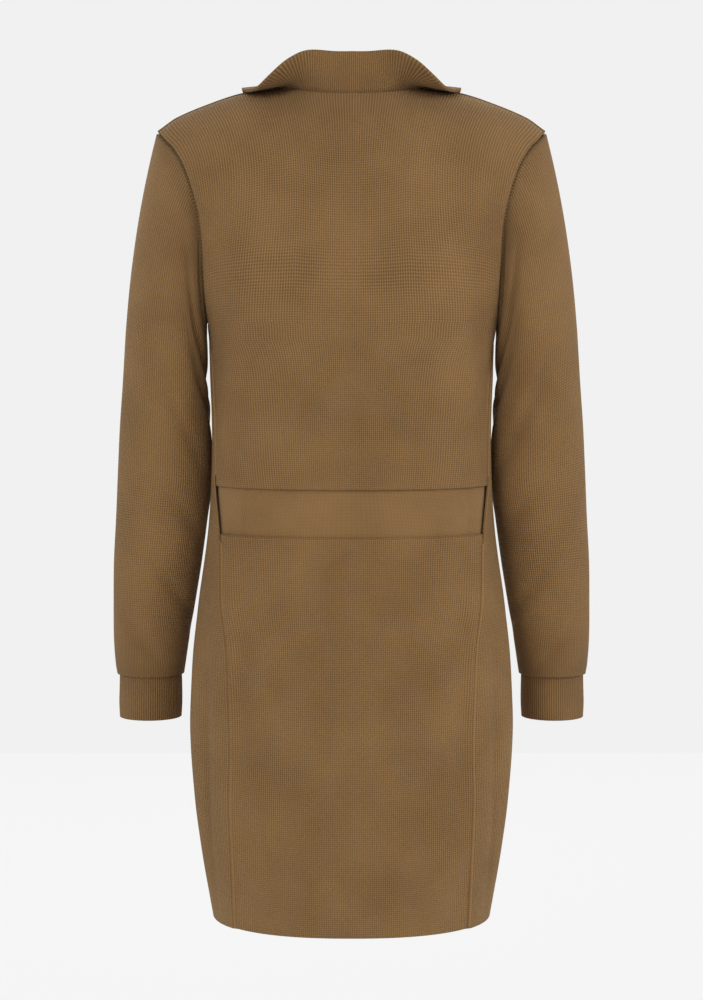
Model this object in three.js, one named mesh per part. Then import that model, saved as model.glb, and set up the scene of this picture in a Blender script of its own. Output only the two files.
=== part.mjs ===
// Button cardigan in its worn, filled-out shape, with nobody inside it.
// Millimetres, +Z up. The fronts and buttons face -Y and +X is the wearer's left.
// The origin is the middle of the neck opening, where the garment is held.
import * as THREE from 'three';
import { mergeVertices } from 'three/addons/utils/BufferGeometryUtils.js';

const WALL = 1.8;            // knitted panels
const BAND_WALL = 3.0;       // doubled band round the neck and down the fronts
const ALLOWANCE = 5;         // how far the sleeve's head reaches into the armhole
const SEAM_GAP = 0.6;        // between neighbouring pieces
const LAP_GAP = 1.0;         // between the two overlapping front bands
const BAND_WIDTH = 40;
const ROLL_BACK = 2.3;       // how far the band's roll leans to the back
const NECK_HALF = 72;        // half the width of the neck seam
const NECK_RISE = 3.5;       // height of the neck point on the shoulder
const NECK_BACK = -7.7;      // height of the neck seam at centre back
const SHOULDER_HALF = 199;
const V_BOTTOM = -232;       // where the two front bands meet
const HEM = -851;
const BELT_TOP = -404;       // lower edge of the upper back
const BELT_BOTTOM = -452;    // upper edge of the back skirt
const UNDERARM = -240;
const BACK_ARCH = 110;       // drop over which the shoulder rounds to the back
const FRONT_ARCH = 100;
const ROUNDNESS = 2.3;       // exponent of the body's cross-section
const BUTTON_RADIUS = 10;
const BUTTON_THICK = 3.2;
const BUTTON_HEIGHTS = [-262, -372, -482, -592, -702, -812];

// The body's cross-section by height.
const BODY = [
  { z: -880, half: 138, back: 103, front: 96 },
  { z: -851, half: 142.5, back: 107, front: 98 },
  { z: -837, half: 145, back: 108, front: 98 },
  { z: -781, half: 154.5, back: 112, front: 101 },
  { z: -722, half: 161.8, back: 115, front: 104 },
  { z: -660, half: 165.8, back: 116, front: 105 },
  { z: -612, half: 164.5, back: 114, front: 104 },
  { z: -572, half: 162, back: 110, front: 102 },
  { z: -514, half: 155, back: 102, front: 97 },
  { z: -454, half: 147, back: 95, front: 93 },
  { z: -404, half: 143.5, back: 91, front: 92 },
  { z: -350, half: 142.5, back: 92, front: 96 },
  { z: -300, half: 144, back: 95, front: 104 },
  { z: -240, half: 147, back: 99, front: 114 },
  { z: -205, half: 156, back: 101, front: 116 },
  { z: -178, half: 165, back: 103, front: 114 },
  { z: -127, half: 186, back: 104, front: 104 },
  { z: -92, half: 212, back: 102, front: 94 },
  { z: -44, half: 240, back: 98, front: 86 },
  { z: 0, half: 250, back: 95, front: 82 },
  { z: 60, half: 255, back: 92, front: 80 },
];

// Height of the shoulder line by distance from the centre.
const RIDGE = [
  { x: 0, z: 30 }, { x: 40, z: 17 }, { x: 72, z: 3.5 }, { x: 110, z: -2 },
  { x: 140, z: -11 }, { x: 180, z: -27.5 }, { x: 199, z: -41 }, { x: 250, z: -75 },
];

// Distance of the skirt's and waist's side seam from the centre, by height.
const SIDE_SEAM = [
  { z: -880, x: 118 }, { z: -851, x: 119.5 }, { z: -777, x: 122 }, { z: -718, x: 123.8 },
  { z: -671, x: 122.7 }, { z: -626, x: 123.7 }, { z: -561, x: 126.8 }, { z: -523, x: 132 },
  { z: -453, x: 134 }, { z: -401, x: 139.2 }, { z: -337, x: 140.6 }, { z: -285, x: 143.2 },
  { z: -240, x: 147 },
];

// Rows up the armhole: where the panel's side is and how far the row has tilted
// from level (0) to the slope of the shoulder (1).
const ARMHOLE = [
  { x: 147, z: -240, tilt: 0.10 }, { x: 148.2, z: -212, tilt: 0.18 },
  { x: 150, z: -178, tilt: 0.32 }, { x: 151.6, z: -152, tilt: 0.44 },
  { x: 154.5, z: -127, tilt: 0.57 }, { x: 160.5, z: -102, tilt: 0.70 },
  { x: 168.5, z: -80, tilt: 0.81 }, { x: 179, z: -62.5, tilt: 0.90 },
  { x: 189.6, z: -51.5, tilt: 0.96 }, { x: 199, z: -41, tilt: 1 },
];

// Rings down the sleeve: outer and inner point, half depth and middle in Y,
// and how much of the armhole's own shape is left in the ring.
const SLEEVE = [
  { ox: 199, oz: -41, ix: 147, iz: -240, depth: 60, mid: 0, keep: 1 },
  { ox: 206.5, oz: -66, ix: 150.5, iz: -247, depth: 60, mid: -1, keep: 0.72 },
  { ox: 215.5, oz: -103, ix: 150.5, iz: -256, depth: 59, mid: -3, keep: 0.42 },
  { ox: 223.5, oz: -145, ix: 149.5, iz: -270, depth: 57, mid: -6, keep: 0.2 },
  { ox: 230.3, oz: -195, ix: 149, iz: -289, depth: 55, mid: -9, keep: 0.08 },
  { ox: 234.5, oz: -246, ix: 147.5, iz: -313, depth: 53, mid: -13, keep: 0 },
  { ox: 238.4, oz: -300, ix: 146, iz: -342, depth: 51, mid: -18, keep: 0 },
  { ox: 242, oz: -345, ix: 145.6, iz: -374, depth: 50, mid: -22, keep: 0 },
  { ox: 244.6, oz: -392, ix: 146.2, iz: -408, depth: 49, mid: -25, keep: 0 },
  { ox: 247, oz: -440, ix: 151.5, iz: -446, depth: 47, mid: -28, keep: 0 },
  { ox: 249.8, oz: -486, ix: 157.5, iz: -488, depth: 45, mid: -31, keep: 0 },
  { ox: 250.7, oz: -530, ix: 164.5, iz: -530, depth: 42, mid: -34, keep: 0 },
  { ox: 250.8, oz: -568, ix: 171, iz: -568, depth: 39, mid: -36, keep: 0 },
  { ox: 249.4, oz: -594, ix: 175, iz: -594, depth: 36.5, mid: -38, keep: 0 },
  { ox: 247.6, oz: -607, ix: 177, iz: -607, depth: 35, mid: -39, keep: 0 },
];
const CUFF = [
  { ox: 244.9, oz: -602, ix: 179.7, iz: -602, depth: 32, mid: -39 },
  { ox: 245.3, oz: -620, ix: 179.2, iz: -620, depth: 32.6, mid: -39.5 },
  { ox: 245.8, oz: -638, ix: 179.2, iz: -638, depth: 33, mid: -40 },
  { ox: 245.2, oz: -653, ix: 180, iz: -653, depth: 32.5, mid: -40 },
];

// Lean of the band from standing (0) to lying outwards (90) or inwards (-90),
// by its place along the neck: 0 at centre back, 1 at the shoulder, 2 at the V.
const BAND_LEAN = [
  { at: 0, lean: 3 }, { at: 0.2, lean: 6 }, { at: 0.36, lean: 20 }, { at: 0.5, lean: 50 },
  { at: 0.6, lean: 76 }, { at: 0.7, lean: 95 }, { at: 0.8, lean: 101 }, { at: 0.9, lean: 100 },
  { at: 1, lean: 96 }, { at: 1.12, lean: 80 },
  { at: 1.3, lean: 28 }, { at: 1.48, lean: -42 },
  { at: 1.66, lean: -84 }, { at: 1.8, lean: -90 }, { at: 2, lean: -90 },
];

const clamp = (v, lo, hi) => Math.min(Math.max(v, lo), hi);
const mix = (a, b, t) => a + (b - a) * t;
const smooth = (t) => t * t * (3 - 2 * t);

// Smooth value of a column from a table sorted by its key.
function lookUp(table, key, column, at) {
  const last = table.length - 1;
  const rising = table[last][key] > table[0][key];
  let i = 0;
  while (i < last - 1 && (rising ? table[i + 1][key] < at : table[i + 1][key] > at)) i += 1;
  const p = (k) => table[clamp(k, 0, last)];
  const span = p(i + 1)[key] - p(i)[key];
  const t = clamp((at - p(i)[key]) / span, 0, 1);
  const slope = (k) => {
    const run = p(k + 1)[key] - p(k - 1)[key];
    return run === 0 ? 0 : (p(k + 1)[column] - p(k - 1)[column]) / run;
  };
  const m0 = slope(i) * span;
  const m1 = slope(i + 1) * span;
  const a = p(i)[column];
  const b = p(i + 1)[column];
  return a + t * m0 + t * t * (3 * (b - a) - 2 * m0 - m1) + t * t * t * (m0 + m1 - 2 * (b - a));
}

function sectionAt(z) {
  return {
    half: lookUp(BODY, 'z', 'half', z),
    back: lookUp(BODY, 'z', 'back', z),
    front: lookUp(BODY, 'z', 'front', z),
  };
}

const ridgeAt = (x) => lookUp(RIDGE, 'x', 'z', Math.abs(x));

// Depth of the body's surface at a width and a height, rounded over the shoulder.
function depthAt(x, z, isBack) {
  const s = sectionAt(z);
  const w = clamp(Math.abs(x) / s.half, 0, 1);
  const drop = isBack ? BACK_ARCH : FRONT_ARCH;
  const d = clamp(ridgeAt(x) - z, 0, drop);
  const arch = Math.sqrt(1 - (1 - d / drop) ** 2);
  const size = (isBack ? s.back : s.front) * (1 - w ** ROUNDNESS) ** (1 / ROUNDNESS) * arch;
  return isBack ? size : -size;
}

// Point of the level cross-section at an angle from centre back.
function polarPoint(angle, z) {
  const s = sectionAt(z);
  const sx = Math.sin(angle);
  const sy = Math.cos(angle);
  const b = sy > 0 ? s.back : s.front;
  const r = (Math.abs(sx / s.half) ** ROUNDNESS + Math.abs(sy / b) ** ROUNDNESS) ** (-1 / ROUNDNESS);
  return new THREE.Vector3(r * sx, r * sy, z);
}

function seamAngle(z) {
  const x = lookUp(SIDE_SEAM, 'z', 'x', z);
  if (z > UNDERARM - 1) return Math.PI / 2;
  return Math.atan2(x, depthAt(Math.min(x, sectionAt(z).half - 0.01), z, true));
}

// A closed shell from a grid of points on its outer face, going right along a row
// and up from row to row as seen from outside; a ring's rows close on themselves.
function shell(grid, wall, isRing = false) {
  const rows = grid.length;
  const cols = grid[0].length;
  const at = (r, c) => grid[clamp(r, 0, rows - 1)][isRing ? (c + cols) % cols : clamp(c, 0, cols - 1)];
  const inner = grid.map((row, r) => row.map((p, c) => {
    const along = at(r, c + 1).clone().sub(at(r, c - 1));
    const up = at(r + 1, c).clone().sub(at(r - 1, c));
    return p.clone().addScaledVector(along.cross(up).normalize(), -wall);
  }));
  const positions = [];
  const face = (a, b, c, d) => {
    [a, b, c, a, c, d].forEach((p) => positions.push(p.x, p.y, p.z));
  };
  const lastCol = isRing ? cols : cols - 1;
  for (let r = 0; r < rows - 1; r += 1) {
    for (let c = 0; c < lastCol; c += 1) {
      const n = (c + 1) % cols;
      face(grid[r][c], grid[r][n], grid[r + 1][n], grid[r + 1][c]);
      face(inner[r][c], inner[r + 1][c], inner[r + 1][n], inner[r][n]);
    }
  }
  const top = rows - 1;
  for (let c = 0; c < lastCol; c += 1) {
    const n = (c + 1) % cols;
    face(inner[0][c], inner[0][n], grid[0][n], grid[0][c]);
    face(grid[top][c], grid[top][n], inner[top][n], inner[top][c]);
  }
  if (!isRing) {
    const end = cols - 1;
    for (let r = 0; r < top; r += 1) {
      face(inner[r][0], grid[r][0], grid[r + 1][0], inner[r + 1][0]);
      face(grid[r][end], inner[r][end], inner[r + 1][end], grid[r + 1][end]);
    }
  }
  const geometry = new THREE.BufferGeometry();
  geometry.setAttribute('position', new THREE.Float32BufferAttribute(positions, 3));
  const merged = mergeVertices(geometry, 1e-3);
  merged.computeVertexNormals();
  return merged;
}

// Rows of a panel between two seams, given the row's side x, side z and tilt.
function panelRows(low, steps) {
  const rows = [];
  for (let i = 0; i < steps; i += 1) {
    const z = mix(low, UNDERARM, i / steps);
    const x = lookUp(SIDE_SEAM, 'z', 'x', z);
    rows.push({ x, z, tilt: 0.10 * smooth(clamp((z + 404) / 164, 0, 1)) });
  }
  return rows.concat(ARMHOLE);
}

// Height of the upper back's top edge: neck seam, then shoulder seam.
function backTop(x) {
  if (Math.abs(x) >= NECK_HALF) return ridgeAt(x);
  return NECK_BACK + (NECK_RISE - NECK_BACK) * (Math.abs(x) / NECK_HALF) ** 2.2;
}

function backUpper() {
  const cols = [0, 0.12, 0.24, 0.3618, 0.45, 0.56, 0.68, 0.79, 0.89, 0.96, 1];
  const across = cols.slice(1).reverse().map((c) => -c).concat(cols);
  const seamCut = SEAM_GAP / 2;
  const grid = panelRows(BELT_TOP, 5).map((row) => across.map((u) => {
    const c = Math.abs(u);
    const angle = row.z > UNDERARM
      ? Math.atan2(row.x, depthAt(row.x, -240, true) + 1e-3) : seamAngle(row.z);
    const z0 = row.z + (backTop(c * SHOULDER_HALF) - backTop(SHOULDER_HALF)) * row.tilt;
    const level = polarPoint(c * angle, row.z).x;
    const scale = row.x / polarPoint(angle, row.z).x;
    const x = mix(level * scale, c * row.x, smooth(row.tilt)) - seamCut * c ** 6;
    const onShoulder = row.tilt === 1 && c * SHOULDER_HALF >= NECK_HALF - 0.1;
    const y = onShoulder ? seamCut : Math.max(depthAt(x, z0, true), seamCut);
    return new THREE.Vector3(-Math.sign(u) * x, y, z0);
  }));
  return shell(grid, WALL);
}

// A level band of the back between two heights, moved in by an inset.
function backBand(low, high, steps, inset, cols) {
  const grid = [];
  for (let i = 0; i <= steps; i += 1) {
    const z = mix(low, high, i / steps);
    const angle = seamAngle(z) - SEAM_GAP / 2 / sectionAt(z).half;
    const row = [];
    for (let c = -cols; c <= cols; c += 1) {
      const p = polarPoint((-c / cols) * angle, z);
      const s = sectionAt(z);
      const shrink = 1 - inset / mix(s.back, s.half, Math.abs(c / cols));
      row.push(new THREE.Vector3(p.x * shrink, p.y * shrink, z));
    }
    grid.push(row);
  }
  return shell(grid, WALL);
}

// Place of the front edge, where the band is sewn on, by height.
function frontEdge(z) {
  const t = clamp((z - V_BOTTOM) / (NECK_RISE - V_BOTTOM), 0, 1);
  return mix(BAND_WIDTH / 2, NECK_HALF, 1 - (1 - t) ** 1.25);
}

function frontPanel() {
  const cols = [0, 0.06, 0.15, 0.26, 0.38, 0.5, 0.62, 0.74, 0.85, 0.93, 1];
  const seamCut = SEAM_GAP / 2;
  const grid = panelRows(HEM, 11).map((row) => cols.map((u) => {
    const edgeTop = NECK_RISE;
    const rise = (ridgeAt(mix(SHOULDER_HALF, NECK_HALF, u)) - ridgeAt(SHOULDER_HALF)) * row.tilt;
    const z = row.z + rise;
    const edgeX = frontEdge(Math.min(z, edgeTop)) + seamCut;
    const below = row.z <= UNDERARM;
    const start = below ? seamAngle(row.z) + seamCut / sectionAt(z).half : Math.PI / 2;
    const edgeY = depthAt(edgeX, z, false);
    const stop = Math.atan2(edgeX, edgeY);
    const polar = polarPoint(mix(start, stop, u), z);
    if (below && row.z < UNDERARM - 60) return polar;
    const ramp = smooth(row.tilt);
    const armScale = below ? 1 : (row.x - seamCut) / sectionAt(z).half;
    const curved = mix(polar.x * armScale, edgeX, u ** 3);
    const x = below ? polar.x : mix(curved, mix(row.x - seamCut, edgeX, u), ramp);
    const onFace = row.tilt === 1 ? -seamCut : Math.min(depthAt(x, z, false), -seamCut);
    const y = below ? polar.y : onFace;
    return new THREE.Vector3(x, y, z);
  }));
  return grid;
}

// The ring of points round the left armhole: shoulder, back, underarm, front.
function armholeRing() {
  const down = ARMHOLE.slice().reverse();
  const place = (row, isBack) => new THREE.Vector3(row.x, depthAt(row.x, row.z, isBack), row.z);
  const back = down.map((row) => place(row, true));
  const front = ARMHOLE.slice(1, -1).map((row) => place(row, false));
  return back.concat(front);
}

// One ring of the sleeve, turned round the line from its outer to its inner point.
function sleeveRing(row, master, inset) {
  const count = master.length;
  const outer = new THREE.Vector3(row.ox, row.mid, row.oz);
  const inner = new THREE.Vector3(row.ix, row.mid, row.iz);
  const centre = outer.clone().add(inner).multiplyScalar(0.5);
  const half = outer.clone().sub(inner).multiplyScalar(0.5);
  const reach = half.length();
  return master.map((own, j) => {
    const angle = (2 * Math.PI * j) / count;
    const p = centre.clone().addScaledVector(half, Math.cos(angle) * (reach - inset) / reach);
    p.y += Math.sin(angle) * (row.depth - inset);
    return p.lerp(own, row.keep ?? 0);
  });
}

// The armhole's ring drawn in towards its middle, so the sleeve starts inside it.
function tuckedArmhole() {
  const ring = armholeRing();
  const middle = new THREE.Vector3(165, -2, -140);
  return ring.map((p) => {
    const inward = middle.clone().sub(p);
    inward.x = 0;
    inward.normalize();
    return p.clone().addScaledVector(inward, WALL + 0.5).add(new THREE.Vector3(2.0, 0, 0));
  });
}

function sleeve() {
  const master = tuckedArmhole();
  const allowance = master.map((p) => p.clone().add(new THREE.Vector3(-ALLOWANCE, 0, 0)));
  const grid = SLEEVE.map((row) => sleeveRing(row, master, 0));
  return [allowance].concat(grid).reverse();
}

function cuff() {
  const master = armholeRing();
  return CUFF.map((row) => sleeveRing(row, master, 0)).reverse();
}

// Seam line of the band on the left half, from centre back over the shoulder to the hem.
function bandSeam() {
  const line = [];
  for (let i = 0; i <= 8; i += 1) {
    const x = NECK_HALF * Math.sin((Math.PI / 2) * (i / 8));
    const z = backTop(Math.min(x, NECK_HALF - 1e-6));
    line.push({ at: i / 8, p: new THREE.Vector3(x, i === 8 ? 0 : depthAt(x, z, true), z) });
  }
  for (let i = 1; i <= 12; i += 1) {
    const z = mix(NECK_RISE, V_BOTTOM, (i / 12) ** 1.35);
    const x = frontEdge(z);
    line.push({ at: 1 + i / 12, p: new THREE.Vector3(x, depthAt(x, z, false), z) });
  }
  return line;
}

// The band's free edge: the seam point moved by the band's width along its lean.
function bandGrid(isBackPart) {
  const line = bandSeam();
  const grid = [];
  line.forEach((node, i) => {
    const before = line[Math.max(i - 1, 0)].p;
    const after = line[Math.min(i + 1, line.length - 1)].p;
    const along = after.clone().sub(before);
    if (i === 0) along.set(1, 0, 0);
    along.normalize();
    const out = new THREE.Vector3(node.p.x, node.p.y * ROLL_BACK + 1e-3, 0).normalize();
    if (node.at > 1) out.set(node.p.x / 60, -0.9 * (node.at - 1), 0).normalize();
    const stand = new THREE.Vector3(0, 0, 1);
    if (node.at > 1) stand.lerp(new THREE.Vector3(0, -1, 0.35), clamp((node.at - 1) * 1.4, 0, 1));
    stand.addScaledVector(along, -stand.dot(along)).normalize();
    const side = new THREE.Vector3().crossVectors(along, stand);
    if (side.dot(out) < 0) side.negate();
    if (node.at <= 1) side.copy(out).addScaledVector(stand, -out.dot(stand)).normalize();
    const lean = THREE.MathUtils.degToRad(lookUp(BAND_LEAN, 'at', 'lean', node.at));
    const way = stand.clone().multiplyScalar(Math.cos(lean)).addScaledVector(side, Math.sin(lean));
    const base = node.p.clone().addScaledVector(way, SEAM_GAP + 0.3);
    base.addScaledVector(stand, 2.4 * smooth(clamp(lean * 1.5, 0, 1)));
    grid.push([0, 0.34, 0.67, 1].map((k) => base.clone().addScaledVector(way, k * BAND_WIDTH)));
  });
  return isBackPart ? grid.slice(0, 9) : grid.slice(8);
}

const mirror = (grid) => grid.map((row) => row.map((p) => new THREE.Vector3(-p.x, p.y, p.z)).reverse());

// The back part of the band, shoulder to shoulder, and each front part of it.
function neckBand() {
  const half = bandGrid(true);
  const whole = half.slice(1).reverse().map((row) => row.map((p) => new THREE.Vector3(-p.x, p.y, p.z)));
  return shell(whole.concat(half).map((row) => row), BAND_WALL);
}

// The front part: round the neck's side, then straight down to the hem.
function frontBandGrid(lift) {
  const grid = bandGrid(false);
  const drop = 18;
  for (let i = 1; i <= drop; i += 1) {
    const z = mix(V_BOTTOM, HEM, i / drop);
    grid.push([0, 0.34, 0.67, 1].map((k) => {
      const x = mix(BAND_WIDTH / 2 - SEAM_GAP, -BAND_WIDTH / 2, k);
      return new THREE.Vector3(x, depthAt(x, z, false) - lift, z);
    }));
  }
  grid.forEach((row, i) => {
    const flat = smooth(clamp((i - 5) / 3, 0, 1));
    const part = smooth(clamp((i - 3) / 5, 0, 1));
    if (i > 12) return;
    row.forEach((p) => {
      p.y = mix(p.y, depthAt(p.x, p.z, false), flat) - lift * part;
    });
  });
  grid[0].forEach((p) => { p.y -= SEAM_GAP; });
  return grid;
}

function button(z) {
  const y = depthAt(0, z, false) - BAND_WALL - LAP_GAP - 0.4;
  const profile = [
    [0, 0.9], [BUTTON_RADIUS * 0.62, 0.9], [BUTTON_RADIUS * 0.74, 0], [BUTTON_RADIUS * 0.94, 0.3],
    [BUTTON_RADIUS, BUTTON_THICK * 0.5], [BUTTON_RADIUS * 0.9, BUTTON_THICK], [0, BUTTON_THICK],
  ].reverse().map(([r, h]) => new THREE.Vector2(r, -h));
  const geometry = new THREE.LatheGeometry(profile, 20);
  geometry.deleteAttribute('uv');
  geometry.deleteAttribute('normal');
  const slope = (depthAt(0, z + 9, false) - depthAt(0, z - 9, false)) / 18;
  geometry.rotateX(-Math.atan(slope));
  geometry.translate(0, y, z);
  const merged = mergeVertices(geometry, 1e-3);
  merged.computeVertexNormals();
  return merged;
}

const group = new THREE.Group();
const knit = { color: '#87643e', roughness: 0.9, metalness: 0 };
const horn = { color: '#4d3420', roughness: 0.4, metalness: 0 };

function add(name, geometry, finish = knit) {
  const mesh = new THREE.Mesh(geometry, new THREE.MeshStandardMaterial(finish));
  mesh.name = name;
  group.add(mesh);
}

add('back_upper', backUpper());
add('back_belt', backBand(BELT_BOTTOM - 6, BELT_TOP + 6, 4, WALL + 0.9, 10));
add('back_skirt', backBand(HEM, BELT_BOTTOM, 11, 0, 10));
const front = frontPanel();
add('front_left', shell(front, WALL));
add('front_right', shell(mirror(front), WALL));
add('sleeve_left', shell(sleeve(), WALL, true));
add('sleeve_right', shell(mirror(sleeve()), WALL, true));
add('cuff_left', shell(cuff(), WALL, true));
add('cuff_right', shell(mirror(cuff()), WALL, true));
add('neck_band', neckBand());
add('front_band_left', shell(frontBandGrid(0), BAND_WALL));
add('front_band_right', shell(mirror(frontBandGrid(BAND_WALL + LAP_GAP)), BAND_WALL));
BUTTON_HEIGHTS.forEach((z, i) => add(`button_${i + 1}`, button(z), horn));

export default group;
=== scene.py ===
"""Button cardigan: knitted cloth, bands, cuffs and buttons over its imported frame.

Each piece is a closed thin shell worked out on a grid of two parameters, in the
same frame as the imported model: metres, +Z up, the buttoned front facing -Y.
"""
import math

import bpy
import numpy as np
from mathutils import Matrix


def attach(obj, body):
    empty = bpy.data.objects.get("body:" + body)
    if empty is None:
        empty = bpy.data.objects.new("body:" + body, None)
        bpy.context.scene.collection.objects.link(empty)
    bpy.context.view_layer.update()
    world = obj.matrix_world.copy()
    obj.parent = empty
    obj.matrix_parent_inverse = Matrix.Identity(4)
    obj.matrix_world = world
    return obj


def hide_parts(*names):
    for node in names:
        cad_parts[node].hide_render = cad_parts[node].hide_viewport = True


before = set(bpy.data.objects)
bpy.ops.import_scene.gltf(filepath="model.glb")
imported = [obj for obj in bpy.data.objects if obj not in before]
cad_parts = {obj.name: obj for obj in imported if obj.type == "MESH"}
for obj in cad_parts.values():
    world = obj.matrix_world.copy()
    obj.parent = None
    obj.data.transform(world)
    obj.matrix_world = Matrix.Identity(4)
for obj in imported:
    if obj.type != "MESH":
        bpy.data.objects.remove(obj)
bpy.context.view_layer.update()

bl_info = {
    "name": "Button cardigan",
    "version": (1, 0, 0),
    "blender": (4, 5, 0),
    "location": "View3D > Sidebar > Cardigan",
    "description": "Builds a knitted cardigan in its worn shape",
    "category": "Add Mesh",
}

MM = 0.001

# Sizes in millimetres; heights are measured from the neck seam.
NECK_HALF = 72.0
ROLL_BACK = 2.3  # how strongly the standing collar is turned outward
SEAM_LAP = 1.6  # how far the band's first row sits inside the panel
FOLD_STRENGTH = 1.5
NECK_RISE = 3.5
NECK_BACK = -7.7
SHOULDER_HALF = 199.0
V_BOTTOM = -232.0
HEM = -851.0
BELT_TOP = -404.0
BELT_BOTTOM = -452.0
UNDERARM = -240.0
BACK_ARCH = 110.0
FRONT_ARCH = 100.0
ROUNDNESS = 2.3
BAND_WIDTH = 40.0
LAP_LIFT = 4.0  # how far the outer front band stands off the inner one
BUTTON_HEIGHTS = (-262, -372, -482, -592, -702, -812)

# The body's cross-section by height: half width, and depth behind and in front.
BODY = {
    "z": [-880, -851, -837, -781, -722, -660, -612, -572, -514, -454, -404, -350, -300,
          -240, -205, -178, -127, -92, -44, 0, 60],
    "half": [138, 142.5, 145, 154.5, 161.8, 165.8, 164.5, 162, 155, 147, 143.5, 142.5, 144,
             147, 156, 165, 186, 212, 240, 250, 255],
    "back": [103, 107, 108, 112, 115, 116, 114, 110, 102, 95, 91, 92, 95,
             99, 101, 103, 104, 102, 98, 95, 92],
    "front": [96, 98, 98, 101, 104, 105, 104, 102, 97, 93, 92, 96, 104,
              114, 116, 114, 104, 94, 86, 82, 80],
}
RIDGE = {"x": [0, 40, 72, 110, 140, 180, 199, 250], "z": [30, 17, 3.5, -2, -11, -27.5, -41, -75]}
SIDE_SEAM = {
    "z": [-880, -851, -777, -718, -671, -626, -561, -523, -453, -401, -337, -285, -240],
    "x": [118, 119.5, 122, 123.8, 122.7, 123.7, 126.8, 132, 134, 139.2, 140.6, 143.2, 147],
}
# Rows up the armhole: the panel's side, its height and the row's tilt.
ARMHOLE = {
    "x": [147, 148.2, 150, 151.6, 154.5, 160.5, 168.5, 179, 189.6, 199],
    "z": [-240, -212, -178, -152, -127, -102, -80, -62.5, -51.5, -41],
    "tilt": [0.10, 0.18, 0.32, 0.44, 0.57, 0.70, 0.81, 0.90, 0.96, 1.0],
}
# Rings down the sleeve: outer and inner point, half depth, middle in Y, armhole share.
SLEEVE = {
    "row": list(range(16)),
    "ox": [199, 199, 206.5, 215.5, 223.5, 230.3, 234.5, 238.4, 242, 244.6, 247, 249.8, 250.7,
           250.8, 249.4, 247.6],
    "oz": [-41, -41, -66, -103, -145, -195, -246, -300, -345, -392, -440, -486, -530,
           -568, -594, -607],
    "ix": [147, 147, 150.5, 150.5, 149.5, 149, 147.5, 146, 145.6, 146.2, 151.5, 157.5, 164.5,
           171, 175, 177],
    "iz": [-240, -240, -247, -256, -270, -289, -313, -342, -374, -408, -446, -488, -530,
           -568, -594, -607],
    "depth": [60, 60, 60, 59, 57, 55, 53, 51, 50, 49, 47, 45, 42, 39, 36.5, 35],
    "mid": [0, 0, -1, -3, -6, -9, -13, -18, -22, -25, -28, -31, -34, -36, -38, -39],
    "keep": [1, 1, 0.72, 0.42, 0.2, 0.08, 0, 0, 0, 0, 0, 0, 0, 0, 0, 0],
}
CUFF = {
    "row": [0, 1, 2, 3],
    "ox": [244.9, 245.3, 245.8, 245.2], "oz": [-602, -620, -638, -653],
    "ix": [179.7, 179.2, 179.2, 180], "iz": [-602, -620, -638, -653],
    "depth": [32, 32.6, 33, 32.5], "mid": [-39, -39.5, -40, -40], "keep": [0, 0, 0, 0],
}
BAND_LEAN = {
    "at": [0, 0.2, 0.36, 0.5, 0.6, 0.7, 0.8, 0.9, 1, 1.12, 1.3, 1.48, 1.66, 1.8, 2],
    "lean": [3, 6, 20, 50, 76, 95, 101, 100, 96, 80, 28, -42, -84, -90, -90],
}


def column(table, name, at):
    """Smooth value of a table's column: a cubic through its rows with mean slopes."""
    keys = np.array(list(table.values())[0], float)
    vals = np.array(table[name], float)
    at = np.asarray(at, float)
    lo = np.maximum(np.arange(len(keys)) - 1, 0)
    hi = np.minimum(np.arange(len(keys)) + 1, len(keys) - 1)
    slopes = (vals[hi] - vals[lo]) / (keys[hi] - keys[lo])
    i = np.clip(np.searchsorted(keys, at) - 1, 0, len(keys) - 2)
    span = keys[i + 1] - keys[i]
    t = np.clip((at - keys[i]) / span, 0, 1)
    m0, m1, a, b = slopes[i] * span, slopes[i + 1] * span, vals[i], vals[i + 1]
    return a + t * m0 + t * t * (3 * (b - a) - 2 * m0 - m1) + t ** 3 * (m0 + m1 - 2 * (b - a))


def smooth(t):
    """Eases 0 to 1 with level ends."""
    t = np.clip(t, 0, 1)
    return t * t * (3 - 2 * t)


def ridge_at(x):
    """Height of the shoulder line at a distance from the centre."""
    return column(RIDGE, "z", np.abs(x))


def depth_at(x, z, back):
    """The body's depth: a rounded cross-section, arched over the shoulder line."""
    half = column(BODY, "half", z)
    size = column(BODY, "back" if back else "front", z)
    drop = BACK_ARCH if back else FRONT_ARCH
    d = np.clip(ridge_at(x) - z, 0, drop)
    arch = np.sqrt(np.maximum(1 - (1 - d / drop) ** 2, 0))
    w = np.clip(np.abs(x) / half, 0, 1)
    y = size * (1 - w ** ROUNDNESS) ** (1 / ROUNDNESS) * arch
    return y if back else -y


def polar(angle, z):
    """Point of the level cross-section at an angle from centre back."""
    sx, sy = np.sin(angle), np.cos(angle)
    half = column(BODY, "half", z)
    deep = np.where(sy > 0, column(BODY, "back", z), column(BODY, "front", z))
    r = (np.abs(sx / half) ** ROUNDNESS + np.abs(sy / deep) ** ROUNDNESS) ** (-1 / ROUNDNESS)
    return r * sx, r * sy


def seam_angle(z):
    """Angle of the side seam at a height below the underarm."""
    x = column(SIDE_SEAM, "x", z)
    half = column(BODY, "half", z)
    y = depth_at(np.minimum(x, half - 0.01), z, True)
    return np.where(z > UNDERARM - 1, math.pi / 2, np.arctan2(x, y))


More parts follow.
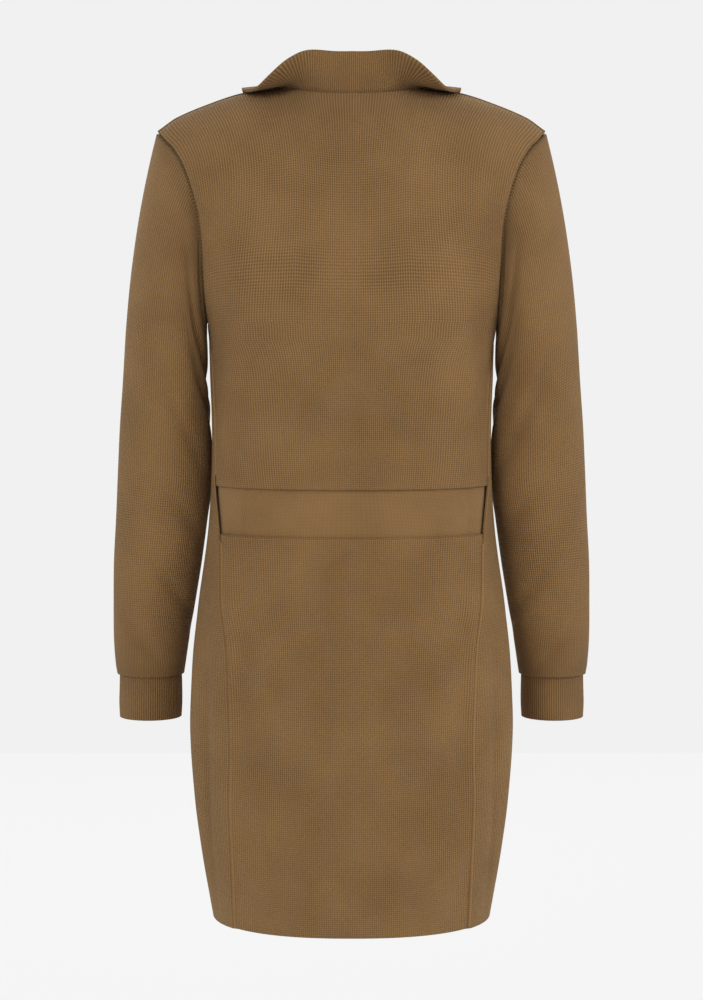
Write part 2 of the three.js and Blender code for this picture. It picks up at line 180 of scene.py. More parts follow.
def panel_rows(low, rows):
    """Rows from a lower edge up the side seam and the armhole to the shoulder."""
    n_low = int(rows * (UNDERARM - low) / (UNDERARM - low + 215))
    z1 = np.linspace(low, UNDERARM, n_low, endpoint=False)
    x1 = column(SIDE_SEAM, "x", z1)
    t1 = 0.10 * smooth((z1 + 404) / 164)
    k = np.linspace(0, 9, rows - n_low)
    index = {"k": list(range(10)), **ARMHOLE}
    x2, z2, t2 = (column(index, c, k) for c in ("x", "z", "tilt"))
    return np.concatenate([x1, x2]), np.concatenate([z1, z2]), np.concatenate([t1, t2])


def back_top(x):
    """Height of the upper back's top edge: neck seam, then shoulder seam."""
    x = np.abs(x)
    neck = NECK_BACK + (NECK_RISE - NECK_BACK) * (np.clip(x, 0, NECK_HALF) / NECK_HALF) ** 2.2
    return np.where(x >= NECK_HALF, ridge_at(x), neck)


def back_upper_grid(cols=161, rows=170):
    """Upper back: each row runs between the armholes and tilts up to the shoulder."""
    rx, rz, tilt = (a[:, None] for a in panel_rows(BELT_TOP, rows))
    u = np.linspace(-1, 1, cols)[None, :]
    c = np.abs(u)
    side = depth_at(rx, np.full_like(rx, UNDERARM), True) + 1e-3
    angle = np.where(rz > UNDERARM, np.arctan2(rx, side), seam_angle(rz))
    z = rz + (back_top(c * SHOULDER_HALF) - back_top(SHOULDER_HALF)) * tilt
    level = polar(c * angle, rz + 0 * c)[0] * rx / polar(angle, rz)[0]
    x = level + (c * rx - level) * smooth(tilt) - 0.3 * c ** 6
    y = np.maximum(depth_at(x, z, True), 0.3)
    y = np.where((tilt >= 0.9999) & (c * SHOULDER_HALF >= NECK_HALF - 0.1), 0.3, y)
    return np.stack([-np.sign(u) * x, y, z + 0 * u], -1)


def back_band_grid(low, high, inset, cols=161, rows=150, past=-0.3):
    """A level band of the back between two heights, moved in by an inset.

    It runs past the side seam by a distance along the body, or stops short of it.
    """
    z = np.linspace(low, high, rows)[:, None]
    c = np.linspace(-1, 1, cols)[None, :]
    half = column(BODY, "half", z)
    angle = seam_angle(z) + past / half
    x, y = polar(-c * angle, z + 0 * c)
    deep = column(BODY, "back", z)
    shrink = 1 - inset / (deep + (half - deep) * np.abs(c))
    return np.stack([x * shrink, y * shrink, z + 0 * c], -1)


def front_edge(z):
    """Distance of the front edge, where the band is sewn on, from the centre."""
    t = np.clip((z - V_BOTTOM) / (NECK_RISE - V_BOTTOM), 0, 1)
    return BAND_WIDTH / 2 + (NECK_HALF - BAND_WIDTH / 2) * (1 - (1 - t) ** 1.25)


def front_grid(cols=130, rows=230):
    """One front: from the side seam behind the hip round to the band's seam."""
    rx, rz, tilt = (a[:, None] for a in panel_rows(HEM, rows))
    u = np.linspace(0, 1, cols)[None, :]
    edge = SHOULDER_HALF + (NECK_HALF - SHOULDER_HALF) * u
    z = rz + (ridge_at(edge) - ridge_at(SHOULDER_HALF)) * tilt
    edge_x = front_edge(np.minimum(z, NECK_RISE)) + 0.3
    half = column(BODY, "half", z)
    below = rz <= UNDERARM
    start = np.where(below, seam_angle(rz) + 0.3 / half, math.pi / 2)
    stop = np.arctan2(edge_x, depth_at(edge_x, z, False))
    px, py = polar(start + (stop - start) * u, z)
    arm = np.where(below, 1.0, (rx - 0.3) / half)
    curved = px * arm + (edge_x - px * arm) * u ** 3
    straight = (rx - 0.3) + (edge_x - rx + 0.3) * u
    x_up = curved + (straight - curved) * smooth(tilt)
    x = np.where(below, px, x_up)
    y_up = np.minimum(depth_at(x_up, z, False), -0.3)
    y_up = np.where(tilt >= 0.9999, -0.3, y_up)
    y = np.where(below, py, y_up)
    return with_allowance(np.stack([x, y, z + 0 * u], -1), rz[:, 0])


def with_allowance(grid, heights):
    """Adds a first column that carries the front in under the back at the side seam."""
    first = grid[:, 0] * np.array([0.9985, 0.9985, 1])
    z = heights
    tx, ty = polar(seam_angle(z) - 5.0 / column(BODY, "half", z), z)
    tucked = np.stack([tx, ty, z], -1) * np.array([0.982, 0.982, 1])
    seam = (z < UNDERARM - 8) & ((z > BELT_TOP + 10) | (z < BELT_BOTTOM - 10))
    column_in = np.where(seam[:, None], tucked, first)
    return np.concatenate([column_in[:, None], grid], 1)


def armhole_ring(count):
    """Ring of points round the left armhole: shoulder, back, underarm, front."""
    index = {"k": list(range(10)), **ARMHOLE}
    k = 9 - np.abs(np.linspace(0, 18, count, endpoint=False) - 9)
    down = 9 - k
    x, z = column(index, "x", down), column(index, "z", down)
    behind = np.arange(count) <= count / 2
    y = np.where(behind, depth_at(x, z, True), depth_at(x, z, False))
    p = np.stack([x, y, z], -1)
    inward = np.array([165.0, -2, -140]) - p
    inward[:, 0] = 0
    inward /= np.linalg.norm(inward, axis=1, keepdims=True)
    return p + inward * 2.3 + np.array([2.0, 0, 0])


def sleeve_grid(table, cols=120, rows=190, allowance=5.0):
    """Sleeve: ellipses turned about the line from their outer to their inner point."""
    last = table["row"][-1]
    k = np.linspace(0, last, rows)[:, None]
    g = {c: column(table, c, k) for c in ("ox", "oz", "ix", "iz", "depth", "mid", "keep")}
    own = armhole_ring(cols)[None]
    angle = np.linspace(0, 2 * math.pi, cols, endpoint=False)[None, :]
    cx, cz = (g["ox"] + g["ix"]) / 2, (g["oz"] + g["iz"]) / 2
    hx, hz = (g["ox"] - g["ix"]) / 2, (g["oz"] - g["iz"]) / 2
    x = cx + hx * np.cos(angle)
    z = cz + hz * np.cos(angle)
    y = g["mid"] + g["depth"] * np.sin(angle)
    p = np.stack([x, y, z], -1)
    keep = np.clip(g["keep"], 0, 1)[..., None]
    p = p + (own - p) * keep
    if table is SLEEVE:
        p[..., 0] -= allowance * (1 - np.clip(k, 0, 1))
    return p[::-1]


def band_seam(n_back, n_front):
    """Seam of the band on the left half, from centre back to the bottom of the V."""
    s = np.linspace(0, 1, n_back)
    xb = NECK_HALF * np.sin(math.pi / 2 * s)
    zb = back_top(np.minimum(xb, NECK_HALF - 1e-6))
    yb = depth_at(xb, zb, True)
    yb[-1] = 0
    t = np.linspace(0, 1, n_front)[1:]
    zf = NECK_RISE + (V_BOTTOM - NECK_RISE) * t ** 1.35
    xf = front_edge(zf)
    yf = depth_at(xf, zf, False)
    p = np.concatenate([np.stack([xb, yb, zb], -1), np.stack([xf, yf, zf], -1)])
    return p, np.concatenate([s, 1 + t])


def band_half(n_back=61, n_front=110, across=15):
    """Left half of the band: the seam's points moved along the band's lean."""
    p, at = band_seam(n_back, n_front)
    along = np.gradient(p, axis=0)
    along[0] = (1, 0, 0)
    along /= np.linalg.norm(along, axis=1, keepdims=True)
    out = np.stack([p[:, 0], p[:, 1] * ROLL_BACK + 1e-3, 0 * at], -1)
    fore = at > 1
    out[fore] = np.stack([p[fore, 0] / 60, -0.9 * (at[fore] - 1), 0 * at[fore]], -1)
    stand = np.tile([0.0, 0, 1], (len(at), 1))
    turn = np.clip((at - 1) * 1.4, 0, 1)[:, None]
    stand = stand + (np.array([0, -1, 0.35]) - stand) * turn
    stand -= along * np.sum(stand * along, axis=1, keepdims=True)
    stand /= np.linalg.norm(stand, axis=1, keepdims=True)
    side = np.cross(along, stand)
    side *= np.where(np.sum(side * out, axis=1) < 0, -1, 1)[:, None]
    roll = out / np.linalg.norm(out, axis=1, keepdims=True)
    roll = roll - stand * np.sum(roll * stand, axis=1, keepdims=True)
    roll /= np.linalg.norm(roll, axis=1, keepdims=True)
    side = np.where((at <= 1)[:, None], roll, side)
    lean = np.radians(column(BAND_LEAN, "lean", at))[:, None]
    way = stand * np.cos(lean) + side * np.sin(lean)
    base = p + way * 0.9 + stand * 2.4 * smooth(lean * 1.5)
    k = np.linspace(0, 1, across)[None, :, None]
    rows = base[:, None] + way[:, None] * k * BAND_WIDTH
    face = np.cross(along, way)
    face *= np.where(np.sum(face * (p * (1, 1, 0)), axis=1) < 0, -1, 1)[:, None]
    rows[:, 0] = p - stand * SEAM_LAP - face * np.where(at < 1.3, 0.7, 0.4)[:, None]
    return rows, at


def neck_band_grid():
    """The band's back part, from shoulder to shoulder."""
    half, at = band_half()
    half = half[at <= 1]
    other = half[1:][::-1] * np.array([-1, 1, 1])
    return np.concatenate([other, half])


def front_band_grid(lift):
    """The band's front part: round the side of the neck, then down to the hem."""
    half, at = band_half()
    half, at = half[at >= 1], at[at >= 1]
    flat = smooth(((at - 1) * 12 - 5) / 3)[:, None]
    part = smooth(((at - 1) * 12 - 3) / 5)[:, None]
    on_body = depth_at(half[..., 0], half[..., 2], False)
    half[..., 1] += (on_body - half[..., 1]) * flat - lift * part
    half[0, :, 1] -= 0.6
    z = np.linspace(V_BOTTOM, HEM, 190)[1:, None]
    k = np.linspace(0, 1, half.shape[1])[None, :]
    x = (BAND_WIDTH / 2 - 0.6) + (-BAND_WIDTH + 0.6) * k + 0 * z
    y = depth_at(x, z + 0 * k, False) - lift
    return np.concatenate([half, np.stack([x, y, z + 0 * k], -1)])


def crease_field(s, t, rows):
    """Sum of soft troughs and ridges: each fades off its line and towards its ends."""
    total = np.zeros(np.broadcast(s, t).shape)
    for s0, t0, s1, t1, width, height in rows:
        height = height * FOLD_STRENGTH
        ds, dt = s1 - s0, t1 - t0
        length = math.hypot(ds, dt)
        along = ((s - s0) * ds + (t - t0) * dt) / length
        off = ((s - s0) * dt - (t - t0) * ds) / length
        off = off + 0.12 * width * np.sin(along / (width * 1.9) + s0)
        mid = np.clip(along / length, 0, 1)
        past = np.clip(np.abs(along - length / 2) - length / 2, 0, None)
        fade = np.sin(math.pi * (0.12 + 0.76 * mid)) * np.exp(-(past / (width * 1.5)) ** 2)
        total = total + height * np.exp(-(off / width) ** 2) * fade
    return total


def normals_of(grid, ring):
    """Unit normals of a grid: its steps along and up, crossed."""
    if ring:
        along = np.roll(grid, -1, 1) - np.roll(grid, 1, 1)
    else:
        along = np.gradient(grid, axis=1)
    up = np.gradient(grid, axis=0)
    n = np.cross(along, up)
    return n / np.maximum(np.linalg.norm(n, axis=2, keepdims=True), 1e-9)


def make_shell(name, grid, wall, ring=False, bumps=None, uv_scale=None):
    """Closed shell: the grid, the grid moved in by the wall, and rims between them."""
    n = normals_of(grid, ring)
    if bumps is not None:
        grid = grid + n * bumps[..., None]
        n = normals_of(grid, ring)
    inner = grid - n * wall
    rows, cols = grid.shape[:2]
    verts = np.concatenate([grid.reshape(-1, 3), inner.reshape(-1, 3)]) * MM
    index = np.arange(rows * cols).reshape(rows, cols)
    nxt = np.roll(index, -1, 1)
    if not ring:
        nxt, here = index[:, 1:], index[:, :-1]
    else:
        here = index
    a, b, c, d = here[:-1], nxt[:-1], nxt[1:], here[1:]
    shift = rows * cols  # from a point of the outer face to its twin on the inner face
    faces = [np.stack([a, b, c, d], -1).reshape(-1, 4),
             np.stack([a, d, c, b], -1).reshape(-1, 4) + shift]
    low = np.stack([here[0] + shift, nxt[0] + shift, nxt[0], here[0]], -1)
    top = np.stack([here[-1], nxt[-1], nxt[-1] + shift, here[-1] + shift], -1)
    faces += [low, top]
    if not ring:
        l0, l1 = index[:-1, 0], index[1:, 0]
        r0, r1 = index[:-1, -1], index[1:, -1]
        faces += [np.stack([l0 + shift, l0, l1, l1 + shift], -1),
                  np.stack([r0, r0 + shift, r1 + shift, r1], -1)]
    quads = np.concatenate(faces)
    mesh = bpy.data.meshes.new(name)
    mesh.vertices.add(len(verts))
    mesh.vertices.foreach_set("co", verts.ravel())
    mesh.loops.add(quads.size)
    mesh.loops.foreach_set("vertex_index", quads.ravel())
    mesh.polygons.add(len(quads))
    mesh.polygons.foreach_set("loop_start", np.arange(0, quads.size, 4))
    mesh.polygons.foreach_set("loop_total", np.full(len(quads), 4))
    mesh.polygons.foreach_set("use_smooth", np.ones(len(quads), bool))
    mesh.update(calc_edges=True)
    mesh.validate()
    width, length = uv_scale
    uu = np.tile(np.linspace(0, width, cols), rows)
    vv = np.repeat(np.linspace(0, length, rows), cols)
    uv_all = np.stack([np.tile(uu, 2), np.tile(vv, 2)], -1) * MM
    layer = mesh.uv_layers.new(name="Knit")
    layer.data.foreach_set("uv", uv_all[quads.ravel()].ravel())
    obj = bpy.data.objects.new(name, mesh)
    bpy.context.scene.collection.objects.link(obj)
    return obj


def mirrored(grid):
    """The same piece on the right side: X turned round and its columns reversed."""
    return grid[:, ::-1] * np.array([-1, 1, 1])


def knit_material(name, dark, light, rib, row, depth, sheen=0.12, ribs_only=False):
    """Knitted wool: ribs across U, courses up V, patchy colour, painted shade between the ribs and
    courses with painted light on their tops, and a soft nap.
    """
    mat = bpy.data.materials.new(name)
    mat.use_nodes = True
    nodes, links = mat.node_tree.nodes, mat.node_tree.links
    bsdf = nodes["Principled BSDF"]
    bsdf.inputs["Roughness"].default_value = 0.86
    bsdf.inputs["Sheen Weight"].default_value = sheen
    bsdf.inputs["Sheen Roughness"].default_value = 0.5
    bsdf.inputs["Sheen Tint"].default_value = (0.9, 0.75, 0.5, 1)
    bsdf.inputs["Specular IOR Level"].default_value = 0.25
    uv = nodes.new("ShaderNodeUVMap")
    uv.uv_map = "Knit"
    waves = []
    for axis, pitch in (("X", rib), ("Y", row)):
        wave = nodes.new("ShaderNodeTexWave")
        wave.wave_type = "BANDS"
        wave.bands_direction = axis
        wave.wave_profile = "SIN"
        wave.inputs["Scale"].default_value = 0.314159 / pitch
        wave.inputs["Distortion"].default_value = 0.35
        wave.inputs["Detail"].default_value = 1.0
        wave.inputs["Detail Scale"].default_value = 0.25
        links.new(uv.outputs["UV"], wave.inputs["Vector"])
        waves.append(wave)
    weave = nodes.new("ShaderNodeMath")
    weave.operation = "MULTIPLY_ADD"
    weave.inputs[1].default_value = 0.18 if ribs_only else 0.62
    links.new(waves[1].outputs["Fac"], weave.inputs[0])
    links.new(waves[0].outputs["Fac"], weave.inputs[2])
    coords = nodes.new("ShaderNodeTexCoord")
    fibre = nodes.new("ShaderNodeTexNoise")
    fibre.inputs["Scale"].default_value = 900
    fibre.inputs["Detail"].default_value = 3
    links.new(coords.outputs["Object"], fibre.inputs["Vector"])
    height = nodes.new("ShaderNodeMath")
    height.operation = "MULTIPLY_ADD"
    height.inputs[1].default_value = 0.35
    links.new(fibre.outputs["Fac"], height.inputs[0])
    links.new(weave.outputs[0], height.inputs[2])
    bump = nodes.new("ShaderNodeBump")
    bump.inputs["Strength"].default_value = 0.75
    bump.inputs["Distance"].default_value = depth
    links.new(height.outputs[0], bump.inputs["Height"])
    links.new(bump.outputs["Normal"], bsdf.inputs["Normal"])
    patch = nodes.new("ShaderNodeTexNoise")
    patch.inputs["Scale"].default_value = 16
    patch.inputs["Detail"].default_value = 4
    links.new(coords.outputs["Object"], patch.inputs["Vector"])
    tone_and_rib_shade = nodes.new("ShaderNodeMath")
    tone_and_rib_shade.operation = "MULTIPLY_ADD"
    tone_and_rib_shade.inputs[1].default_value = 0.55
    links.new(patch.outputs["Fac"], tone_and_rib_shade.inputs[0])
    # Painted shade and light: the weave darkens the colour between the ribs and courses and
    # lightens their tops, added to the random patches of tone.
    painted_rib_shade = nodes.new("ShaderNodeMath")
    painted_rib_shade.operation = "MULTIPLY"
    painted_rib_shade.inputs[1].default_value = 0.42
    links.new(weave.outputs[0], painted_rib_shade.inputs[0])
    links.new(painted_rib_shade.outputs[0], tone_and_rib_shade.inputs[2])
    # The ramp runs from the dark colour, holding the darker patches and the painted shade, to the
    # light colour, holding the lighter patches and the painted light on the ribs.
    ramp = nodes.new("ShaderNodeValToRGB")
    ramp.color_ramp.elements[0].position = 0.22
    ramp.color_ramp.elements[0].color = (*dark, 1)
    ramp.color_ramp.elements[1].position = 0.86
    ramp.color_ramp.elements[1].color = (*light, 1)
    links.new(tone_and_rib_shade.outputs[0], ramp.inputs["Fac"])
    links.new(ramp.outputs["Color"], bsdf.inputs["Base Color"])
    return mat


def horn_material():
    """Brown horn-like plastic with a faint cloudy grain."""
    mat = bpy.data.materials.new("Button_horn")
    mat.use_nodes = True
    nodes, links = mat.node_tree.nodes, mat.node_tree.links
    bsdf = nodes["Principled BSDF"]
    coords = nodes.new("ShaderNodeTexCoord")
    grain = nodes.new("ShaderNodeTexNoise")
    grain.inputs["Scale"].default_value = 160
    grain.inputs["Detail"].default_value = 5
    grain.inputs["Distortion"].default_value = 1.2
    links.new(coords.outputs["Object"], grain.inputs["Vector"])
    ramp = nodes.new("ShaderNodeValToRGB")
    ramp.color_ramp.elements[0].position = 0.3
    ramp.color_ramp.elements[0].color = (0.045, 0.022, 0.010, 1)
    ramp.color_ramp.elements[1].position = 0.75
    ramp.color_ramp.elements[1].color = (0.15, 0.08, 0.035, 1)
    links.new(grain.outputs["Fac"], ramp.inputs["Fac"])
    links.new(ramp.outputs["Color"], bsdf.inputs["Base Color"])
    rough = nodes.new("ShaderNodeMath")
    rough.operation = "MULTIPLY_ADD"
    rough.inputs[1].default_value = 0.25
    rough.inputs[2].default_value = 0.28
    links.new(grain.outputs["Fac"], rough.inputs[0])
    links.new(rough.outputs[0], bsdf.inputs["Roughness"])
    bump = nodes.new("ShaderNodeBump")
    bump.inputs["Strength"].default_value = 0.12
    bump.inputs["Distance"].default_value = 0.0002
    links.new(grain.outputs["Fac"], bump.inputs["Height"])
    links.new(bump.outputs["Normal"], bsdf.inputs["Normal"])
    return mat


def finish_piece(obj, node, slot, mats):
    """Gives a piece its material, hangs it from the root and hides the imported part it replaces.
    """
    obj.data.materials.append(mats[slot])
    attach(obj, "root")
    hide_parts(node)


MATS = {}

# Creases as lines: from across, from up, to across, to up, width, height. Those of the
# back are in millimetres. The fronts' are across in shares, and the sleeves' both ways.
BACK_CREASES = [
    (150, -400, 153, -90, 7, 2.4), (-150, -400, -153, -100, 8, 3.2),
    (140, -330, 128, -120, 10, -2.2), (-138, -340, -128, -130, 10, -2.6),
    (60, -400, 40, -250, 22, -1.0), (-75, -400, -50, -270, 24, -1.1),
    (-20, -395, 10, -200, 30, 0.8), (100, -90, 40, -30, 16, -0.9), (-105, -95, -45, -35, 16, -0.8),
]
SKIRT_CREASES = [
    (122, -470, 126, -800, 7, 1.8), (-122, -470, -126, -800, 7, 2.2),
    (108, -480, 112, -740, 10, -1.4), (-108, -500, -112, -760, 10, -1.6),
    (40, -460, 55, -700, 26, -1.2), (-45, -460, -62, -720, 28, -1.3), (0, -520, 6, -840, 34, 0.9),
]
BELT_CREASES = [(104, -398, 110, -458, 3, -1.2), (-118, -400, -121, -456, 4, -1.4),
                (60, -400, 64, -456, 8, -0.4), (-40, -402, -46, -455, 9, -0.4)]
FRONT_CREASES = [
    (0.10, -560, 0.11, -830, 0.022, 2.2), (0.17, -520, 0.18, -800, 0.03, -2.0),
    (0.42, -300, 0.55, -620, 0.06, -1.2), (0.7, -280, 0.66, -560, 0.06, 1.0),
    (0.3, -150, 0.52, -300, 0.05, -1.6), (0.15, -300, 0.32, -420, 0.05, -1.4),
]
SLEEVE_CREASES = [
    (0.30, 0.80, 0.52, 0.62, 0.028, -3.6), (0.34, 0.70, 0.54, 0.50, 0.03, -2.6),
    (0.36, 0.90, 0.50, 0.76, 0.022, -2.4), (0.22, 0.60, 0.42, 0.42, 0.035, -2.0),
    (0.20, 0.42, 0.44, 0.30, 0.03, -1.8), (0.26, 0.26, 0.48, 0.16, 0.026, -1.8),
    (0.68, 0.80, 0.52, 0.60, 0.03, -2.8), (0.74, 0.52, 0.56, 0.36, 0.032, -2.0),
    (0.78, 0.28, 0.58, 0.16, 0.03, -1.8), (0.12, 0.20, 0.30, 0.08, 0.03, -1.4),
]


class CardiganSizes(bpy.types.PropertyGroup):
    """Sizes and colours of the cardigan's knit."""

    wall: bpy.props.FloatProperty(
        name="Wall", description="Thickness of the knitted panels", default=0.0018,
        min=0.001, max=0.003, unit="LENGTH")
    band_wall: bpy.props.FloatProperty(
        name="Band wall", description="Thickness of the doubled band", default=0.003,
        min=0.002, max=0.004, unit="LENGTH")
    rib: bpy.props.FloatProperty(
        name="Rib", description="Distance between ribs", default=0.0024, unit="LENGTH")
    course: bpy.props.FloatProperty(
        name="Course", description="Distance between courses", default=0.0021, unit="LENGTH")
    # The dark end of the knit's colour: darker patches of yarn, and painted shade between the ribs
    # and courses.
    dark: bpy.props.FloatVectorProperty(
        name="Dark yarn", description="Colour between the ribs", size=3, subtype="COLOR",
        default=(0.130, 0.064, 0.021), min=0, max=1)
    # The light end of the knit's colour: lighter patches of yarn, and painted light on the tops of
    # the ribs and courses.
    light: bpy.props.FloatVectorProperty(
        name="Light yarn", description="Colour on the ribs", size=3, subtype="COLOR",
        default=(0.315, 0.176, 0.066), min=0, max=1)


class CARDIGAN_OT_materials(bpy.types.Operator):
    """Make the knit and button materials"""

    bl_idname = "cardigan.materials"
    bl_label = "Make materials"

    def execute(self, context):
        s = context.scene.cardigan
        dark, light = tuple(s.dark), tuple(s.light)
        MATS["knit"] = knit_material("Knit_panel", dark, light, s.rib, s.course, 0.0009)
        MATS["rib"] = knit_material("Knit_rib", dark, light, s.rib, s.course, 0.0013,
                                    ribs_only=True)
        MATS["belt"] = knit_material("Knit_belt", tuple(c * 1.08 for c in dark), light,
                                     0.0016, 0.0014, 0.0004, sheen=0.3)
        MATS["button"] = horn_material()
        return {"FINISHED"}


class CARDIGAN_OT_back(bpy.types.Operator):
    """Build the upper back, the inset belt and the back skirt"""

    bl_idname = "cardigan.back"
    bl_label = "Build back"

    def execute(self, context):
        wall = context.scene.cardigan.wall / MM
        g = back_upper_grid()
        obj = make_shell("Back_upper", g, wall, bumps=panel_folds(g, BACK_CREASES),
                         uv_scale=(330, 400))
        finish_piece(obj, "back_upper", "knit", MATS)
        g = back_band_grid(BELT_BOTTOM - 6, BELT_TOP + 6, 2.7, rows=30, past=12.0)
        obj = make_shell("Back_belt", g, wall, bumps=panel_folds(g, BELT_CREASES),
                         uv_scale=(320, 60))
        finish_piece(obj, "back_belt", "belt", MATS)
        g = back_band_grid(HEM, BELT_BOTTOM, 0.0, rows=190)
        obj = make_shell("Back_skirt", g, wall, bumps=panel_folds(g, SKIRT_CREASES),
                         uv_scale=(300, 400))
        finish_piece(obj, "back_skirt", "knit", MATS)
        return {"FINISHED"}


def edge_fade(grid):
    """1 inside a panel and 0 on its side edges, so that folds end at the seams."""
    c = np.linspace(0, 1, grid.shape[1])[None, :]
    r = np.linspace(0, 1, grid.shape[0])[:, None]
    return smooth(np.minimum(c, 1 - c) / 0.02) * smooth(np.minimum(r, 1 - r) / 0.015)


def panel_folds(grid, creases):
    """A back panel's creases, placed by its X and Z and ending at its seams."""
    return crease_field(grid[..., 0], grid[..., 2], creases) * edge_fade(grid)


class CARDIGAN_OT_fronts(bpy.types.Operator):
    """Build both fronts"""

    bl_idname = "cardigan.fronts"
    bl_label = "Build fronts"

    def execute(self, context):
        wall = context.scene.cardigan.wall / MM
        g = front_grid()
        s = np.linspace(0, 1, g.shape[1])[None, :] + 0 * g[..., 2]
        bumps = crease_field(s * 400, g[..., 2], [
            (a * 400, b, c * 400, d, w * 400, h) for a, b, c, d, w, h in FRONT_CREASES])
        bumps = bumps * edge_fade(g)
        for name, grid, b in (("Front_left", g, bumps),
                              ("Front_right", mirrored(g), bumps[:, ::-1])):
            obj = make_shell(name, grid, wall, bumps=b, uv_scale=(330, 860))
            finish_piece(obj, name.lower(), "knit", MATS)
        return {"FINISHED"}


class CARDIGAN_OT_sleeves(bpy.types.Operator):
    """Build both sleeves and their ribbed cuffs"""

    bl_idname = "cardigan.sleeves"
    bl_label = "Build sleeves"

    def execute(self, context):
        wall = context.scene.cardigan.wall / MM
        g = sleeve_grid(SLEEVE)
        s = np.linspace(0, 1, g.shape[1], endpoint=False)[None, :] * 300
        t = np.linspace(0, 1, g.shape[0])[:, None] * 560
        rows = [(a * 300, b * 560, c * 300, d * 560, w * 300, h)
                for a, b, c, d, w, h in SLEEVE_CREASES]
        fade = smooth((1 - t / 560) / 0.12) * smooth(t / 560 / 0.04)
        bumps = crease_field(s, t, rows) * fade
        for name, grid, b in (("Sleeve_left", g, bumps),
                              ("Sleeve_right", mirrored(g), bumps[:, ::-1])):
            obj = make_shell(name, grid, wall, ring=True, bumps=b, uv_scale=(300, 560))
            finish_piece(obj, name.lower(), "knit", MATS)
        c = sleeve_grid(CUFF, rows=30)
        for name, grid in (("Cuff_left", c), ("Cuff_right", mirrored(c))):
            obj = make_shell(name, grid, wall, ring=True, uv_scale=(207, 51))
            finish_piece(obj, name.lower(), "rib", MATS)
        return {"FINISHED"}


class CARDIGAN_OT_bands(bpy.types.Operator):
    """Build the ribbed band round the neck and down both fronts"""

    bl_idname = "cardigan.bands"
    bl_label = "Build bands"

    def execute(self, context):
        wall = context.scene.cardigan.band_wall / MM
        g = neck_band_grid().transpose(1, 0, 2)
        obj = make_shell("Neck_band", g[:, ::-1], wall, uv_scale=(250, 40))
        finish_piece(obj, "neck_band", "rib", MATS)
        for name, grid in (("Front_band_left", front_band_grid(0.0)),
                           ("Front_band_right", mirrored(front_band_grid(LAP_LIFT)))):
            obj = make_shell(name, grid, wall, uv_scale=(40, 900))
            finish_piece(obj, name.lower(), "rib", MATS)
        return {"FINISHED"}


class CARDIGAN_OT_buttons(bpy.types.Operator):
    """Build the six buttons down the front band"""

    bl_idname = "cardigan.buttons"
    bl_label = "Build buttons"

    def execute(self, context):
        for i, z in enumerate(BUTTON_HEIGHTS):
            obj = button(f"Button_{i + 1}", float(z))
            obj.data.materials.append(MATS["button"])
            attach(obj, "root")
            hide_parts(f"button_{i + 1}")
        return {"FINISHED"}


def button(name, z):
    """A turned button: its rim and sunk middle are a profile swept about its axis."""
    r = np.array([0.0, 5.4, 6.2, 7.2, 8.6, 9.5, 9.95, 9.8, 8.8, 6.0, 0.0])
    h = np.array([1.9, 1.9, 2.1, 2.9, 3.2, 2.8, 1.8, 0.9, 0.35, 0.3, 0.3])
    a = np.linspace(0, 2 * math.pi, 48, endpoint=False)[:, None]
    y0 = float(depth_at(0.0, z, False)) - 4.4
    slope = float(depth_at(0.0, z + 9, False) - depth_at(0.0, z - 9, False)) / 18
    x = r[1:-1] * np.cos(a)
    zz = r[1:-1] * np.sin(a)
    y = -h[1:-1] + 0 * a
    pts = np.stack([x, y0 + y + zz * slope, z + zz], -1)
    ends = np.array([[0, y0 - h[0], z], [0, y0 - h[-1], z]])
    verts = np.concatenate([pts.reshape(-1, 3), ends]) * MM
    m, n = pts.shape[:2]
    idx = np.arange(m * n).reshape(m, n)
    nxt = np.roll(idx, -1, 0)
    quads = np.stack([idx[:, :-1], idx[:, 1:], nxt[:, 1:], nxt[:, :-1]], -1).reshape(-1, 4)
    caps = [(int(i), int(j), m * n) for i, j in zip(nxt[:, 0], idx[:, 0])]
    caps += [(int(i), int(j), m * n + 1) for i, j in zip(idx[:, -1], nxt[:, -1])]
    mesh = bpy.data.meshes.new(name)
    mesh.from_pydata(verts.tolist(), [], [tuple(map(int, q)) for q in quads[:, ::-1]]
                     + [c[::-1] for c in caps])
    mesh.polygons.foreach_set("use_smooth", np.ones(len(mesh.polygons), bool))
    mesh.update()
    obj = bpy.data.objects.new(name, mesh)
    bpy.context.scene.collection.objects.link(obj)
    return obj


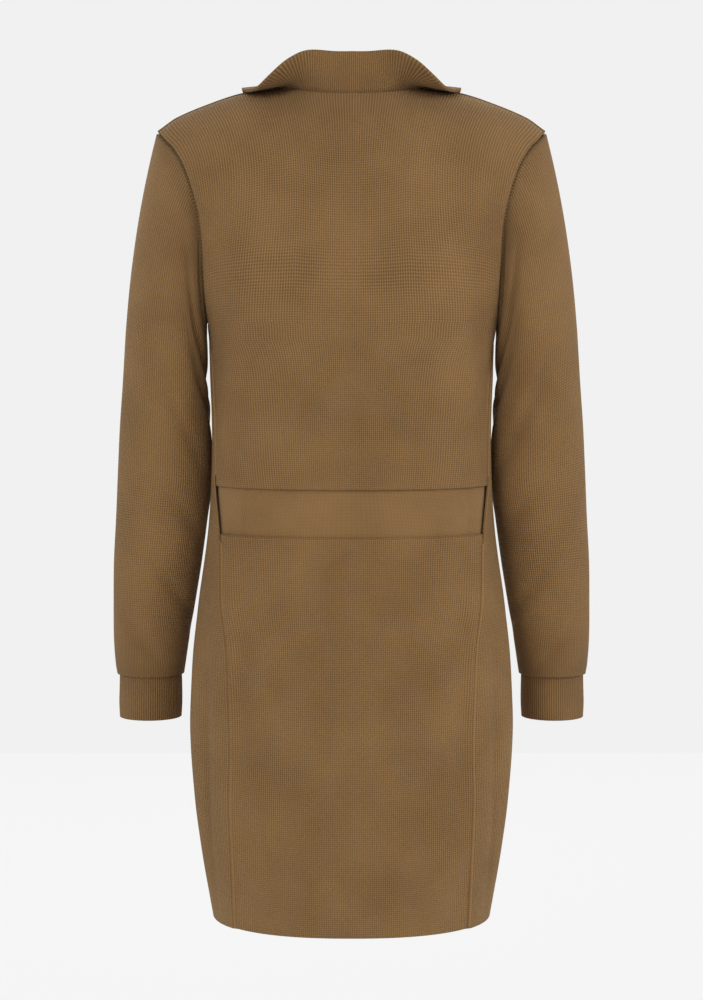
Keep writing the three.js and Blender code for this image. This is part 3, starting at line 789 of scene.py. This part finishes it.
class CARDIGAN_OT_stage(bpy.types.Operator):
    """Set the pale floor, the soft lights and the camera"""

    bl_idname = "cardigan.stage"
    bl_label = "Set stage"

    def execute(self, context):
        scene = context.scene
        world = bpy.data.worlds.new("Studio")
        world.use_nodes = True
        world.node_tree.nodes["Background"].inputs["Color"].default_value = (0.86, 0.86, 0.86, 1)
        world.node_tree.nodes["Background"].inputs["Strength"].default_value = 0.62
        scene.world = world
        for name, place, size, power, aim in (
            ("Key_left", (1.5, 2.6, 1.0), 1.2, 24, (0.1, 0, -0.4)),
            ("Key_right", (-2.6, 1.6, 0.9), 1.2, 34, (-0.1, 0, -0.4)),
            ("Front_fill", (0.4, -2.6, 0.8), 2.4, 40, (0, 0, -0.4)),
        ):
            light = bpy.data.lights.new(name, "AREA")
            light.size = size
            light.energy = power
            lamp = bpy.data.objects.new(name, light)
            lamp.location = place
            way = np.array(aim) - np.array(place)
            lamp.rotation_euler = direction_euler(way)
            scene.collection.objects.link(lamp)
        cam = bpy.data.cameras.new("Camera")
        cam.lens = 80.0
        cam.sensor_width = 36.0
        cam.clip_end = 50
        eye = bpy.data.objects.new("Camera", cam)
        eye.location = (0.0, 2.30, -0.236)
        eye.rotation_euler = direction_euler(np.array([0.0, -2.30, -0.0923]))
        cam.shift_y = -0.0893
        scene.collection.objects.link(eye)
        scene.camera = eye
        scene.view_settings.view_transform = "Standard"
        pale = bpy.data.materials.new("Studio_pale")
        pale.use_nodes = True
        surface = pale.node_tree.nodes["Principled BSDF"]
        surface.inputs["Base Color"].default_value = (0.02, 0.02, 0.02, 1)
        surface.inputs["Roughness"].default_value = 1.0
        surface.inputs["Emission Color"].default_value = (0.85, 0.85, 0.85, 1)
        surface.inputs["Emission Strength"].default_value = 1.0
        for name, place, turn in (("Floor", (0, 0, -1.35), (0, 0, 0)),
                                  ("Backdrop", (0, -3.4, 0), (math.pi / 2, 0, 0))):
            bpy.ops.mesh.primitive_plane_add(size=16, location=place, rotation=turn)
            sheet = context.object
            sheet.name = name
            sheet.data.materials.append(pale)
        return {"FINISHED"}


def direction_euler(way):
    """Turn that points an object's -Z along a direction with its Y upwards."""
    from mathutils import Vector
    return Vector([float(c) for c in way]).to_track_quat("-Z", "Y").to_euler()


class CARDIGAN_PT_panel(bpy.types.Panel):
    """Sidebar panel with the cardigan's sizes and its build steps"""

    bl_idname = "CARDIGAN_PT_panel"
    bl_label = "Cardigan"
    bl_space_type = "VIEW_3D"
    bl_region_type = "UI"
    bl_category = "Cardigan"

    def draw(self, context):
        for prop in ("wall", "band_wall", "rib", "course", "dark", "light"):
            self.layout.prop(context.scene.cardigan, prop)
        for step in STEPS:
            self.layout.operator(f"cardigan.{step}")


STEPS = ("materials", "back", "fronts", "sleeves", "bands", "buttons", "stage")
CLASSES = (CardiganSizes, CARDIGAN_OT_materials, CARDIGAN_OT_back, CARDIGAN_OT_fronts,
           CARDIGAN_OT_sleeves, CARDIGAN_OT_bands, CARDIGAN_OT_buttons, CARDIGAN_OT_stage,
           CARDIGAN_PT_panel)


def register():
    """Adds the classes and the scene's sizes."""
    for cls in CLASSES:
        bpy.utils.register_class(cls)
    bpy.types.Scene.cardigan = bpy.props.PointerProperty(type=CardiganSizes)


def unregister():
    """Removes them again."""
    del bpy.types.Scene.cardigan
    for cls in reversed(CLASSES):
        bpy.utils.unregister_class(cls)


def main():
    """Registers the add-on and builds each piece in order."""
    register()
    for step in STEPS:
        getattr(bpy.ops.cardigan, step)()


if __name__ == "__main__":
    main()
